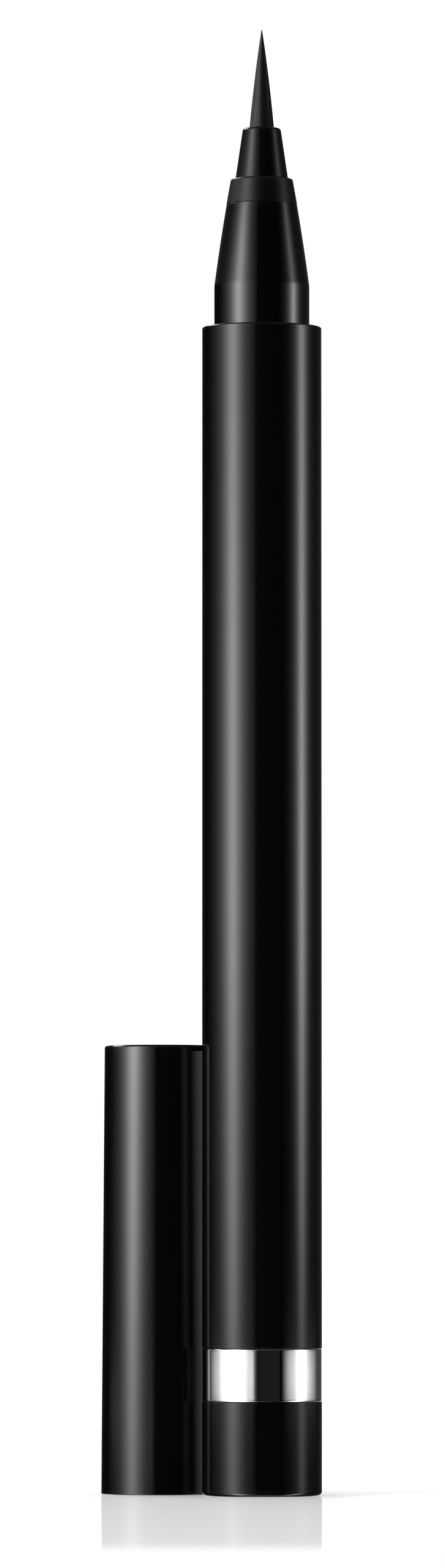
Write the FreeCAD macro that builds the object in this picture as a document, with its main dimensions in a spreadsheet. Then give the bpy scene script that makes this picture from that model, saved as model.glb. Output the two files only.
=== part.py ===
import FreeCAD, Part

import math
import os
from types import SimpleNamespace

import Sketcher

# Liquid eyeliner pen with its cap taken off and stood beside it.
# The origin is the centre of the pen's flat foot, +Z runs up the pen to the nib, -Y is the front.
# A sprung inner cap seals the nib when the cap is pushed home on the collar.

SHEET = "Sizes"

# Driving dimensions in millimetres, angles in degrees, numbers of turns and copies as plain counts.
SIZES = {
    # Outside of the pen, from the foot up
    "barrel_diameter": 10.4,
    "tail_height": 8.14,
    "tail_edge_round": 0.38,
    "band_height": 4.55,
    "band_inset": 0.03,
    "band_edge_chamfer": 0.1,
    "barrel_length": 88.64,
    "barrel_edge_round": 0.42,
    "barrel_foot_chamfer": 0.08,
    "collar_diameter": 8.3,
    "collar_length": 3.62,
    "collar_step": 0.25,
    "cone_length": 7.72,
    "cone_tip_diameter": 5.94,
    "cone_flank_radius": 120.0,
    "seam_chamfer": 0.1,
    "ring_height": 1.83,
    "ring_tip_diameter": 5.35,
    "ring_edge_round": 0.42,
    "sleeve_base_diameter": 4.56,
    "sleeve_length": 4.45,
    "sleeve_tip_diameter": 3.29,
    "sleeve_tip_round": 0.42,
    "nib_diameter": 2.13,
    "nib_length": 8.46,
    "nib_point_diameter": 0.06,
    "nib_flank_radius": 145.0,
    # Clearances
    "press_gap": 0.02,
    "nib_gap": 0.03,
    "wick_gap": 0.05,
    "collector_gap": 0.1,
    "cap_gap": 0.03,
    "slide_gap": 0.1,
    "rest_gap": 0.02,
    "cut_overrun": 1.0,
    # Front section and nib seat
    "spigot_length": 13.0,
    "spigot_lead_chamfer": 0.4,
    "socket_diameter": 4.34,
    "socket_depth": 4.3,
    "nose_web": 1.5,
    "nib_flange_diameter": 3.0,
    "nib_flange_height": 0.7,
    "nib_feed_depth": 4.6,
    # Feed wick
    "wick_diameter": 1.5,
    "wick_point_diameter": 0.9,
    "wick_point_length": 4.4,
    "wick_tail": 4.0,
    # Collector
    "collector_diameter": 6.2,
    "collector_core_diameter": 3.4,
    "fin_thickness": 0.4,
    "fin_space": 0.75,
    "fin_end_space": 0.9,
    "ink_slot_width": 0.3,
    "air_slot_width": 1.3,
    "air_slot_floor": 1.25,
    "collector_flange": 1.0,
    "boss_diameter": 4.0,
    "seal_groove_depth": 0.6,
    "seal_groove_width": 0.9,
    "seal_section": 0.58,
    # Ink tank
    "tank_length": 36.0,
    "tank_wall": 0.9,
    "tank_end_wall": 3.0,
    "plug_head": 1.2,
    "plug_length": 4.0,
    "plug_wall": 0.9,
    "plug_floor": 1.0,
    "plug_groove_depth": 0.25,
    "plug_groove_width": 0.8,
    "ledge_height": 1.5,
    "ledge_bore": 6.0,
    "ball_diameter": 3.5,
    # Tail plug
    "tail_floor": 1.6,
    "neck_wall": 1.2,
    "neck_engagement": 7.5,
    "neck_relief": 0.2,
    "neck_lead_chamfer": 0.5,
    "neck_rib_angle": 9.0,
    "neck_rib_count": 6,
    # Cap
    "cap_length": 39.0,
    "cap_top_diameter": 9.84,
    "cap_top_round": 0.25,
    "cap_mouth_round": 0.06,
    "cap_end_wall": 1.3,
    "cap_lead_in": 0.22,
    "bead_height": 1.3,
    "bead_flat": 0.5,
    "bead_depth": 0.36,
    "cap_distance": 0.25,
    "cap_bearing": 34.3,
    # Inner cap and its spring
    "seal_height": 0.75,
    "closing_lift": 1.9,
    "inner_cap_depth": 16.5,
    "inner_cap_wall": 0.65,
    "inner_cap_end_wall": 0.9,
    "inner_cap_flange": 1.2,
    "inner_cap_rib_angle": 12.0,
    "inner_cap_rib_count": 4,
    "inner_cap_rib_short": 1.0,
    "inner_cap_travel": 3.0,
    "travel_spare": 0.2,
    "spring_diameter": 6.0,
    "spring_wire": 0.4,
    "spring_turns": 7.5,
    "spring_seat_gap": 0.2,
    "lower_guide_share": 0.36,
}

# How near two numbers lie when they mean the same place.
SAME_PLACE = 1e-5
# Arc pairs that follow one turn of the spring, and points for measuring its gap.
BIARCS_PER_TURN = 4
GAP_POINTS_PER_TURN = 48


class Size:
    """A number together with the sheet expression that gives it."""

    def __init__(self, value, text):
        self.value = value
        self.text = text

    def __add__(self, other):
        other = as_size(other)
        return Size(self.value + other.value, f"({self.text} + {other.text})")

    def __sub__(self, other):
        other = as_size(other)
        return Size(self.value - other.value, f"({self.text} - {other.text})")

    def __mul__(self, other):
        other = as_size(other)
        return Size(self.value * other.value, f"({self.text} * {other.text})")

    def __truediv__(self, other):
        other = as_size(other)
        return Size(self.value / other.value, f"({self.text} / {other.text})")

    def __neg__(self):
        return Size(-self.value, f"(0 - {self.text})")


def as_size(number):
    """A plain number as a Size."""
    return number if isinstance(number, Size) else Size(number, repr(number))


def cosine(angle):
    """Cosine of an angle in degrees."""
    return Size(math.cos(math.radians(angle.value)), f"cos({angle.text})")


def sine(angle):
    """Sine of an angle in degrees."""
    return Size(math.sin(math.radians(angle.value)), f"sin({angle.text})")


def fill_sheet(doc):
    """Write the driving dimensions into the sheet and give each one as a Size."""
    sheet = doc.addObject("Spreadsheet::Sheet", SHEET)
    for row, (name, value) in enumerate(SIZES.items(), start=1):
        sheet.set(f"A{row}", name)
        sheet.set(f"B{row}", str(value))
        sheet.setAlias(f"B{row}", name)
    doc.recompute()
    return SimpleNamespace(**{name: Size(sheet.get(name), f"{SHEET}.{name}") for name in SIZES})


def origin_feature(body, role):
    """The origin plane or axis of a body."""
    return next(feature for feature in body.Origin.OriginFeatures if feature.Role == role)


def new_body(doc, label):
    """An empty body with its label."""
    body = doc.addObject("PartDesign::Body", label)
    body.Label = label
    return body


def new_sketch(body, name, plane):
    """An empty sketch on one of the body's origin planes."""
    sketch = body.newObject("Sketcher::SketchObject", name)
    sketch.AttachmentSupport = [(origin_feature(body, plane), "")]
    sketch.MapMode = "FlatFace"
    return sketch


def bind_point(sketch, edge, across, along):
    """Hold the start of an edge at two distances from the sketch origin."""
    for kind, axis, place in (("DistanceX", -2, across), ("DistanceY", -1, along)):
        if place.value == 0:
            sketch.addConstraint(Sketcher.Constraint("PointOnObject", edge, 1, axis))
            continue
        first, second = ((-1, 1), (edge, 1)) if place.value > 0 else ((edge, 1), (-1, 1))
        distance = place if place.value > 0 else -place
        constraint = Sketcher.Constraint(kind, *first, *second, distance.value)
        name = f"{kind}_{edge}"
        sketch.renameConstraint(sketch.addConstraint(constraint), name)
        sketch.setExpression(f"Constraints.{name}", distance.text)


def bulged_arc(start, end, radius):
    """An arc from start to end that swells to the right of the way it runs."""
    chord = end - start
    sagitta = radius - math.sqrt(radius ** 2 - (chord.Length / 2) ** 2)
    outward = FreeCAD.Vector(chord.y, -chord.x, 0).normalize()
    return Part.Arc(start, (start + end) / 2 + outward * sagitta, end)


def draw_outline(sketch, outline):
    """Draw a closed outline, anticlockwise, and bind every point of it.

    Each point is (across, along), or (across, along, radius) where an arc of that
    radius runs from it to the next point.
    """
    corners = [FreeCAD.Vector(point[0].value, point[1].value, 0) for point in outline]
    count = len(outline)
    for edge, point in enumerate(outline):
        start, end = corners[edge], corners[(edge + 1) % count]
        if len(point) == 3:
            sketch.addGeometry(bulged_arc(start, end, point[2].value), False)
        else:
            sketch.addGeometry(Part.LineSegment(start, end), False)
    for edge, point in enumerate(outline):
        sketch.addConstraint(Sketcher.Constraint("Coincident", edge, 2, (edge + 1) % count, 1))
        bind_point(sketch, edge, point[0], point[1])
        if len(point) == 3:
            constraint = Sketcher.Constraint("Radius", edge, point[2].value)
            name = f"Radius_{edge}"
            sketch.renameConstraint(sketch.addConstraint(constraint), name)
            sketch.setExpression(f"Constraints.{name}", point[2].text)


def turn(body, name, outline):
    """Revolve an outline of (radius, height) points about the body's axis."""
    sketch = new_sketch(body, f"{name}_outline", "XZ_Plane")
    draw_outline(sketch, outline)
    feature = body.newObject("PartDesign::Revolution", name)
    feature.Profile = sketch
    feature.ReferenceAxis = (sketch, ["V_Axis"])
    feature.Angle = 360
    body.Document.recompute()
    return feature


def turned_ribs(body, name, outline, angle, count):
    """Revolve an outline through a small angle and repeat it round the axis."""
    rib = turn(body, name, outline)
    rib.Midplane = True
    rib.setExpression("Angle", angle.text)
    pattern = body.newObject("PartDesign::PolarPattern", f"{name}_pattern")
    pattern.Originals = [rib]
    pattern.Axis = (origin_feature(body, "Z_Axis"), [""])
    pattern.Angle = 360
    pattern.setExpression("Occurrences", count.text)
    body.Tip = pattern
    body.Document.recompute()
    return pattern


def circle_edges(shape, places):
    """Names of the circular edges at the given (radius, height) places."""
    names = []
    for number, edge in enumerate(shape.Edges, start=1):
        if not isinstance(edge.Curve, Part.Circle):
            continue
        for radius, height in places:
            near_radius = abs(edge.Curve.Radius - radius.value) < SAME_PLACE
            near_height = abs(edge.Curve.Center.z - height.value) < SAME_PLACE
            if near_radius and near_height:
                names.append(f"Edge{number}")
    if len(names) != len(places):
        raise RuntimeError(f"{len(names)} of {len(places)} edges found")
    return names


def ease_edges(body, name, kind, size, places):
    """Fillet or chamfer the circular edges at the given (radius, height) places."""
    base = body.Tip
    feature = body.newObject(f"PartDesign::{kind}", name)
    feature.Base = (base, circle_edges(base.Shape, places))
    feature.setExpression("Radius" if kind == "Fillet" else "Size", size.text)
    body.Document.recompute()
    return feature


def rectangle(across, along, width, depth):
    """Outline of a rectangle given its near corner and its two sides."""
    return [
        (across, along),
        (across + width, along),
        (across + width, along + depth),
        (across, along + depth),
    ]


def cut_down(body, name, outline, top, depth):
    """Cut an outline in the horizontal plane at a height straight down by a depth."""
    before = body.Tip.Shape.Volume
    sketch = new_sketch(body, f"{name}_outline", "XY_Plane")
    sketch.setExpression("AttachmentOffset.Base.z", top.text)
    draw_outline(sketch, outline)
    feature = body.newObject("PartDesign::Pocket", name)
    feature.Profile = sketch
    feature.setExpression("Length", depth.text)
    body.Document.recompute()
    if not feature.Shape.Volume < before:
        raise RuntimeError(f"{name} cuts nothing")
    return feature


def heights(s):
    """Heights along the pen that more than one piece uses."""
    h = SimpleNamespace(foot=as_size(0))
    h.band_base = s.tail_height
    h.barrel_base = h.band_base + s.band_height
    h.shoulder = h.barrel_base + s.barrel_length
    h.collar_top = h.shoulder + s.collar_length
    h.cone_top = h.collar_top + s.cone_length
    h.ring_top = h.cone_top + s.ring_height
    h.sleeve_top = h.ring_top + s.sleeve_length
    h.nib_point = h.sleeve_top + s.nib_length
    h.section_base = h.shoulder - s.spigot_length
    h.socket_floor = h.cone_top - s.socket_depth
    h.chamber_top = h.socket_floor - s.nose_web
    h.tank_top = h.section_base - s.collector_flange
    h.tank_roof = h.tank_top - s.tank_end_wall
    h.tank_base = h.tank_top - s.tank_length
    h.plug_top = h.tank_base + s.plug_length
    h.ledge_top = h.tank_base - s.plug_head
    h.ledge_base = h.ledge_top - s.ledge_height
    h.neck_top = h.barrel_base + s.neck_engagement
    # Heights in the cap, from its mouth
    h.cap_ceiling = s.cap_length - s.cap_end_wall
    h.inner_cap_lip = s.collar_length + s.cone_length + s.seal_height - s.closing_lift
    h.inner_cap_top = h.inner_cap_lip + s.inner_cap_depth + s.inner_cap_end_wall
    return h


def radii(s):
    """Radii that more than one piece uses."""
    r = SimpleNamespace(axis=as_size(0))
    r.outside = s.barrel_diameter / 2
    r.collar = s.collar_diameter / 2
    r.spigot = r.collar - s.collar_step
    r.barrel_bore = r.spigot + s.press_gap
    r.tank = r.barrel_bore - s.press_gap
    r.tank_bore = r.tank - s.tank_wall
    r.boss = s.boss_diameter / 2
    r.wick = s.wick_diameter / 2
    r.wick_hole = r.wick + s.wick_gap
    r.cap_bore = r.collar + s.cap_gap
    r.guide = r.cap_bore - s.slide_gap
    fall = (s.cone_tip_diameter - s.ring_tip_diameter) * s.seal_height / s.ring_height
    r.seal = (s.cone_tip_diameter - fall) / 2
    r.spring = s.spring_diameter / 2
    r.spring_guide = r.spring - s.spring_wire / 2 - s.spring_seat_gap
    return r


def make_barrel(doc, s, h, r):
    """Outer tube, with the inner ledge that carries the ink tank."""
    body = new_body(doc, "barrel")
    ledge = s.ledge_bore / 2
    turn(body, "tube", [
        (r.barrel_bore, h.barrel_base),
        (r.outside, h.barrel_base),
        (r.outside, h.shoulder),
        (r.barrel_bore, h.shoulder),
        (r.barrel_bore, h.ledge_top),
        (ledge, h.ledge_top),
        (ledge, h.ledge_base),
        (r.barrel_bore, h.ledge_base),
    ])
    ease_edges(body, "shoulder_round", "Fillet", s.barrel_edge_round, [(r.outside, h.shoulder)])
    ease_edges(body, "foot_edge", "Chamfer", s.barrel_foot_chamfer, [(r.outside, h.barrel_base)])
    return body


def make_band_ring(doc, s, h, r):
    """Bright band between the tail plug and the barrel, seated on the plug's neck."""
    body = new_body(doc, "band_ring")
    rim = r.outside - s.band_inset
    turn(body, "ring", [
        (r.barrel_bore, h.band_base),
        (rim, h.band_base),
        (rim, h.barrel_base),
        (r.barrel_bore, h.barrel_base),
    ])
    rims = [(rim, h.band_base), (rim, h.barrel_base)]
    ease_edges(body, "rims", "Chamfer", s.band_edge_chamfer, rims)
    return body


def make_tail_plug(doc, s, h, r):
    """Hollow moulded plug that closes the barrel and makes the foot."""
    body = new_body(doc, "tail_plug")
    neck = r.barrel_bore - s.press_gap
    relieved = neck - s.neck_relief
    hollow = neck - s.neck_wall
    turn(body, "cup", [
        (r.axis, h.foot),
        (r.outside, h.foot),
        (r.outside, h.band_base),
        (neck, h.band_base),
        (neck, h.barrel_base),
        (relieved, h.barrel_base),
        (relieved, h.neck_top),
        (hollow, h.neck_top),
        (hollow, s.tail_floor),
        (r.axis, s.tail_floor),
    ])
    rib_foot = (hollow + relieved) / 2
    turned_ribs(body, "crush_ribs", [
        (rib_foot, h.barrel_base),
        (neck, h.barrel_base),
        (neck, h.neck_top - s.neck_lead_chamfer),
        (relieved, h.neck_top),
        (rib_foot, h.neck_top),
    ], s.neck_rib_angle, s.neck_rib_count)
    ease_edges(body, "foot_round", "Fillet", s.tail_edge_round, [(r.outside, h.foot)])
    return body


def make_front_section(doc, s, h, r):
    """Nose cone, the collar that the cap grips, and the spigot pressed into the barrel."""
    body = new_body(doc, "front_section")
    chamber = s.collector_diameter / 2 + s.collector_gap
    socket = s.socket_diameter / 2
    cone_tip = s.cone_tip_diameter / 2
    turn(body, "nose", [
        (chamber, h.section_base),
        (r.spigot, h.section_base),
        (r.spigot, h.shoulder),
        (r.collar, h.shoulder),
        (r.collar, h.collar_top, s.cone_flank_radius),
        (cone_tip, h.cone_top),
        (socket, h.cone_top),
        (socket, h.socket_floor),
        (r.wick_hole, h.socket_floor),
        (r.wick_hole, h.chamber_top),
        (chamber, h.chamber_top),
    ])
    ease_edges(body, "seam", "Chamfer", s.seam_chamfer, [(cone_tip, h.cone_top)])
    ease_edges(body, "lead", "Chamfer", s.spigot_lead_chamfer, [(r.spigot, h.section_base)])
    return body


def make_nib_sleeve(doc, s, h, r):
    """Tip sleeve with its ring, pressed into the nose, that holds the nib."""
    body = new_body(doc, "nib_sleeve")
    spigot = s.socket_diameter / 2 - s.press_gap
    ring_base = s.cone_tip_diameter / 2
    ring_tip = s.ring_tip_diameter / 2
    sleeve_tip = s.sleeve_tip_diameter / 2
    bore = s.nib_diameter / 2 + s.nib_gap
    recess = s.nib_flange_diameter / 2 + s.nib_gap
    turn(body, "sleeve", [
        (recess, h.socket_floor),
        (spigot, h.socket_floor),
        (spigot, h.cone_top),
        (ring_base, h.cone_top),
        (ring_tip, h.ring_top),
        (s.sleeve_base_diameter / 2, h.ring_top),
        (sleeve_tip, h.sleeve_top),
        (bore, h.sleeve_top),
        (bore, h.socket_floor + s.nib_flange_height),
        (recess, h.socket_floor + s.nib_flange_height),
    ])
    ease_edges(body, "seam", "Chamfer", s.seam_chamfer, [(ring_base, h.cone_top)])
    ease_edges(body, "ring_round", "Fillet", s.ring_edge_round, [(ring_tip, h.ring_top)])
    ease_edges(body, "tip_round", "Fillet", s.sleeve_tip_round, [(sleeve_tip, h.sleeve_top)])
    return body


def make_brush_nib(doc, s, h, r):
    """Bundle of bristles with a fused flange at its root and a hole for the wick's point."""
    body = new_body(doc, "brush_nib")
    shank = s.nib_diameter / 2
    flange = s.nib_flange_diameter / 2
    feed = s.wick_point_diameter / 2 + s.wick_gap
    turn(body, "bundle", [
        (feed, h.socket_floor),
        (flange, h.socket_floor),
        (flange, h.socket_floor + s.nib_flange_height),
        (shank, h.socket_floor + s.nib_flange_height),
        (shank, h.sleeve_top, s.nib_flank_radius),
        (s.nib_point_diameter / 2, h.nib_point),
        (r.axis, h.nib_point),
        (r.axis, h.socket_floor + s.nib_feed_depth),
        (feed, h.socket_floor + s.nib_feed_depth),
    ])
    return body


def make_feed_wick(doc, s, h, r):
    """Fibre rod that carries ink from the tank through the collector into the nib."""
    body = new_body(doc, "feed_wick")
    point = s.wick_point_diameter / 2
    step = h.socket_floor - s.wick_gap
    turn(body, "rod", [
        (r.axis, h.tank_roof - s.wick_tail),
        (r.wick, h.tank_roof - s.wick_tail),
        (r.wick, step),
        (point, step),
        (point, h.socket_floor + s.wick_point_length),
        (r.axis, h.socket_floor + s.wick_point_length),
    ])
    return body


def make_collector(doc, s, h, r):
    """Finned overflow buffer: a comb of discs on a core, with an ink slot and an air slot."""
    body = new_body(doc, "collector")
    core = s.collector_core_diameter / 2
    rim = s.collector_diameter / 2
    flange = r.barrel_bore - s.press_gap
    boss = r.boss
    groove = boss - s.seal_groove_depth
    groove_top = h.tank_top - s.seal_groove_width
    groove_base = groove_top - s.seal_groove_width
    turn(body, "core", [
        (r.wick_hole, h.tank_roof),
        (boss, h.tank_roof),
        (boss, groove_base),
        (groove, groove_base),
        (groove, groove_top),
        (boss, groove_top),
        (boss, h.tank_top),
        (flange, h.tank_top),
        (flange, h.section_base),
        (core, h.section_base),
        (core, h.chamber_top),
        (r.wick_hole, h.chamber_top),
    ])
    first = h.section_base + s.fin_end_space
    fin = turn(body, "fin", [
        ((core + r.wick_hole) / 2, first),
        (rim, first),
        (rim, first + s.fin_thickness),
        ((core + r.wick_hole) / 2, first + s.fin_thickness),
    ])
    pitch = s.fin_thickness + s.fin_space
    room = h.chamber_top - first - s.fin_end_space - s.fin_thickness
    steps = math.floor(room.value / pitch.value)
    pattern = body.newObject("PartDesign::LinearPattern", "comb")
    pattern.Originals = [fin]
    pattern.Direction = (origin_feature(body, "Z_Axis"), [""])
    pattern.setExpression("Length", (pitch * steps).text)
    pattern.Occurrences = steps + 1
    body.Tip = pattern
    doc.recompute()
    length = h.chamber_top - h.section_base + s.cut_overrun
    top = h.chamber_top + s.cut_overrun
    ink_slot = rectangle(r.axis, -(s.ink_slot_width / 2), rim + s.cut_overrun, s.ink_slot_width)
    cut_down(body, "ink_slot", ink_slot, top, length)
    air_start = -(rim + s.cut_overrun)
    air_depth = rim + s.cut_overrun - s.air_slot_floor
    air_slot = rectangle(air_start, -(s.air_slot_width / 2), air_depth, s.air_slot_width)
    cut_down(body, "air_slot", air_slot, top, length)
    return body


def make_tank_seal(doc, s, h, r):
    """Ring that seals the collector's boss in the tank's neck."""
    seal = doc.addObject("Part::Torus", "tank_seal")
    seal.Label = "tank_seal"
    groove = r.boss - s.seal_groove_depth / 2
    seal.setExpression("Radius1", groove.text)
    seal.setExpression("Radius2", (s.seal_section / 2).text)
    middle = h.tank_top - s.seal_groove_width - s.seal_groove_width / 2
    seal.setExpression("Placement.Base.z", middle.text)
    return seal


def make_ink_tank(doc, s, h, r):
    """Cartridge tube whose front wall takes the collector's boss."""
    body = new_body(doc, "ink_tank")
    neck = r.boss + s.press_gap
    turn(body, "tube", [
        (r.tank_bore, h.tank_base),
        (r.tank, h.tank_base),
        (r.tank, h.tank_top),
        (neck, h.tank_top),
        (neck, h.tank_roof),
        (r.tank_bore, h.tank_roof),
    ])
    return body


def make_tank_plug(doc, s, h, r):
    """Stopper pressed into the tank's rear end, standing on the barrel's ledge."""
    body = new_body(doc, "tank_plug")
    stem = r.tank_bore - s.press_gap
    groove = stem - s.plug_groove_depth
    groove_base = h.tank_base + s.plug_groove_width
    groove_top = groove_base + s.plug_groove_width
    hollow = stem - s.plug_groove_depth - s.plug_wall
    turn(body, "stopper", [
        (hollow, h.ledge_top),
        (r.tank, h.ledge_top),
        (r.tank, h.tank_base),
        (stem, h.tank_base),
        (stem, groove_base),
        (groove, groove_base),
        (groove, groove_top),
        (stem, groove_top),
        (stem, h.plug_top),
        (r.axis, h.plug_top),
        (r.axis, h.plug_top - s.plug_floor),
        (hollow, h.plug_top - s.plug_floor),
    ])
    return body


def make_mixing_ball(doc, s, h, r):
    """Loose steel ball that stirs the ink when the pen is shaken."""
    ball = doc.addObject("Part::Sphere", "mixing_ball")
    ball.Label = "mixing_ball"
    ball.setExpression("Radius", (s.ball_diameter / 2).text)
    centre = h.plug_top + s.rest_gap + s.ball_diameter / 2
    ball.setExpression("Placement.Base.z", centre.text)
    return ball


def stand_cap_piece(piece, s, r):
    """Place a cap piece beside the pen, behind its left side."""
    reach = r.outside * 2 + s.cap_distance
    piece.setExpression("Placement.Base.x", (-(reach * cosine(s.cap_bearing))).text)
    piece.setExpression("Placement.Base.y", (reach * sine(s.cap_bearing)).text)
    piece.setExpression("Placement.Base.z", s.rest_gap.text)


def guide_lengths(s, h):
    """Lengths of the spring guides on the inner cap and under the cap's ceiling."""
    room = h.cap_ceiling - h.inner_cap_top - s.inner_cap_travel - s.travel_spare
    lower = room * s.lower_guide_share
    return lower, room - lower


def make_cap_shell(doc, s, h, r):
    """Tapered cap with the bead that holds the inner cap and a guide for its spring."""
    body = new_body(doc, "cap_shell")
    top = s.cap_top_diameter / 2
    bead = r.cap_bore - s.bead_depth
    bead_top = h.inner_cap_lip - s.rest_gap
    guide_base = h.cap_ceiling - guide_lengths(s, h)[1]
    turn(body, "shell", [
        (r.cap_bore + s.cap_lead_in, h.foot),
        (r.outside, h.foot),
        (top, s.cap_length),
        (r.axis, s.cap_length),
        (r.axis, guide_base),
        (r.spring_guide, guide_base),
        (r.spring_guide, h.cap_ceiling),
        (r.cap_bore, h.cap_ceiling),
        (r.cap_bore, bead_top),
        (bead, bead_top),
        (bead, bead_top - s.bead_flat),
        (r.cap_bore, bead_top - s.bead_height),
        (r.cap_bore, s.cap_lead_in),
    ])
    ease_edges(body, "top_round", "Fillet", s.cap_top_round, [(top, s.cap_length)])
    ease_edges(body, "mouth_round", "Fillet", s.cap_mouth_round, [(r.outside, h.foot)])
    stand_cap_piece(body, s, r)
    return body


def make_inner_cap(doc, s, h, r):
    """Sealing cup that slides in the cap and closes over the nib."""
    body = new_body(doc, "inner_cap")
    outside = r.seal + s.inner_cap_wall
    shelf = h.inner_cap_lip + s.inner_cap_flange
    inside_top = h.inner_cap_lip + s.inner_cap_depth
    guide_top = h.inner_cap_top + guide_lengths(s, h)[0]
    turn(body, "cup", [
        (r.seal, h.inner_cap_lip),
        (r.guide, h.inner_cap_lip),
        (r.guide, shelf),
        (outside, shelf),
        (outside, h.inner_cap_top),
        (r.spring_guide, h.inner_cap_top),
        (r.spring_guide, guide_top),
        (r.axis, guide_top),
        (r.axis, inside_top),
        (r.seal, inside_top),
    ])
    rib_foot = r.seal + s.inner_cap_wall / 2
    rib_base = h.inner_cap_lip + s.inner_cap_flange / 2
    turned_ribs(body, "guide_ribs", [
        (rib_foot, rib_base),
        (r.guide, rib_base),
        (r.guide, h.inner_cap_top - s.inner_cap_rib_short),
        (rib_foot, h.inner_cap_top - s.inner_cap_rib_short),
    ], s.inner_cap_rib_angle, s.inner_cap_rib_count)
    stand_cap_piece(body, s, r)
    return body


def helix_point(radius, pitch, base, turns):
    """A point of the spring's centre line and the unit tangent there."""
    angle = 2 * math.pi * turns
    place = FreeCAD.Vector(radius * math.cos(angle), radius * math.sin(angle), base + pitch * turns)
    tangent = FreeCAD.Vector(-radius * math.sin(angle), radius * math.cos(angle), pitch / (2 * math.pi))
    return place, tangent.normalize()


def tangent_arc(start, corner, end):
    """The arc from start to end that touches both legs of an even-sided corner."""
    weight = (end - start).Length / (2 * (corner - start).Length)
    middle = (start + corner * (2 * weight) + end) / (2 + 2 * weight)
    return Part.Arc(start, middle, end).toShape()


def biarc(start, start_tangent, end, end_tangent):
    """Two arcs, tangent where they meet, between two points with given tangents."""
    chord = end - start
    square = 2 * (start_tangent.dot(end_tangent) - 1)
    linear = -2 * chord.dot(start_tangent + end_tangent)
    constant = chord.dot(chord)
    reach = (-linear - math.sqrt(linear ** 2 - 4 * square * constant)) / (2 * square)
    if reach < 0:
        reach = (-linear + math.sqrt(linear ** 2 - 4 * square * constant)) / (2 * square)
    first_corner = start + start_tangent * reach
    second_corner = end - end_tangent * reach
    joint = (first_corner + second_corner) / 2
    return [tangent_arc(start, first_corner, joint), tangent_arc(joint, second_corner, end)]


def print_spring_gap(radius, pitch, turns, wire):
    """Measure the least gap between neighbouring turns on points, and print it."""
    count = round(turns * GAP_POINTS_PER_TURN)
    line = [helix_point(radius, pitch, 0, step / GAP_POINTS_PER_TURN)[0] for step in range(count + 1)]
    half_turn = GAP_POINTS_PER_TURN // 2
    pairs = ((a, b) for a in range(len(line)) for b in range(a + half_turn, len(line)))
    least = min((line[a] - line[b]).Length for a, b in pairs) - wire
    print(f"inner_cap_spring: least gap to itself {least:.3f} mm")


def make_inner_cap_spring(doc, s, h, r):
    """Open-coiled compression spring between the inner cap and the cap's ceiling."""
    radius = r.spring.value
    wire = s.spring_wire.value
    turns = s.spring_turns.value
    base = (h.inner_cap_top + s.rest_gap + s.spring_wire / 2).value
    top = (h.cap_ceiling - s.rest_gap - s.spring_wire / 2).value
    pitch = (top - base) / turns
    steps = round(turns * BIARCS_PER_TURN)
    stations = [helix_point(radius, pitch, base, turns * step / steps) for step in range(steps + 1)]
    edges = []
    for (start, start_tangent), (end, end_tangent) in zip(stations, stations[1:]):
        edges += biarc(start, start_tangent, end, end_tangent)
    spine = Part.Wire(edges)
    section = Part.Wire(Part.makeCircle(wire / 2, *stations[0]))
    coil = doc.addObject("Part::Feature", "inner_cap_spring")
    coil.Label = "inner_cap_spring"
    coil.Shape = spine.makePipeShell([section], True, False)
    stand_cap_piece(coil, s, r)
    wanted = math.pi * (wire / 2) ** 2 * spine.Length
    print(f"inner_cap_spring: volume {coil.Shape.Volume:.3f} mm3, section times length {wanted:.3f} mm3")
    print_spring_gap(radius, pitch, turns, wire)
    return coil


MAKERS = (
    make_barrel,
    make_band_ring,
    make_tail_plug,
    make_front_section,
    make_nib_sleeve,
    make_brush_nib,
    make_feed_wick,
    make_collector,
    make_tank_seal,
    make_ink_tank,
    make_tank_plug,
    make_mixing_ball,
    make_cap_shell,
    make_inner_cap,
    make_inner_cap_spring,
)


def check(doc, pieces):
    """Stop if any object failed or any piece has no sound shape."""
    for item in doc.Objects:
        if "Invalid" in item.State or "Error" in item.State:
            raise RuntimeError(f"{item.Name} failed: {item.State}")
    for piece in pieces:
        if piece.Shape.isNull() or not piece.Shape.isValid():
            raise RuntimeError(f"{piece.Label} has no sound shape")


def main():
    """Build the document and write each piece to its own file."""
    doc = FreeCAD.newDocument("eyeliner_pen")
    s = fill_sheet(doc)
    h = heights(s)
    r = radii(s)
    pieces = [make(doc, s, h, r) for make in MAKERS]
    doc.recompute()
    check(doc, pieces)
    os.makedirs("parts", exist_ok=True)
    for piece in pieces:
        piece.Shape.exportStep(os.path.join("parts", f"{piece.Label}.step"))
        print(f"{piece.Label}: {len(piece.Shape.Solids)} solid, {piece.Shape.Volume:.2f} mm3")


main()
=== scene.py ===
import math
import random

import bmesh
import bpy
from bpy.props import FloatProperty, FloatVectorProperty, IntProperty, PointerProperty
from bpy.types import Operator, Panel, PropertyGroup
from mathutils import Matrix, Vector


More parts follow.
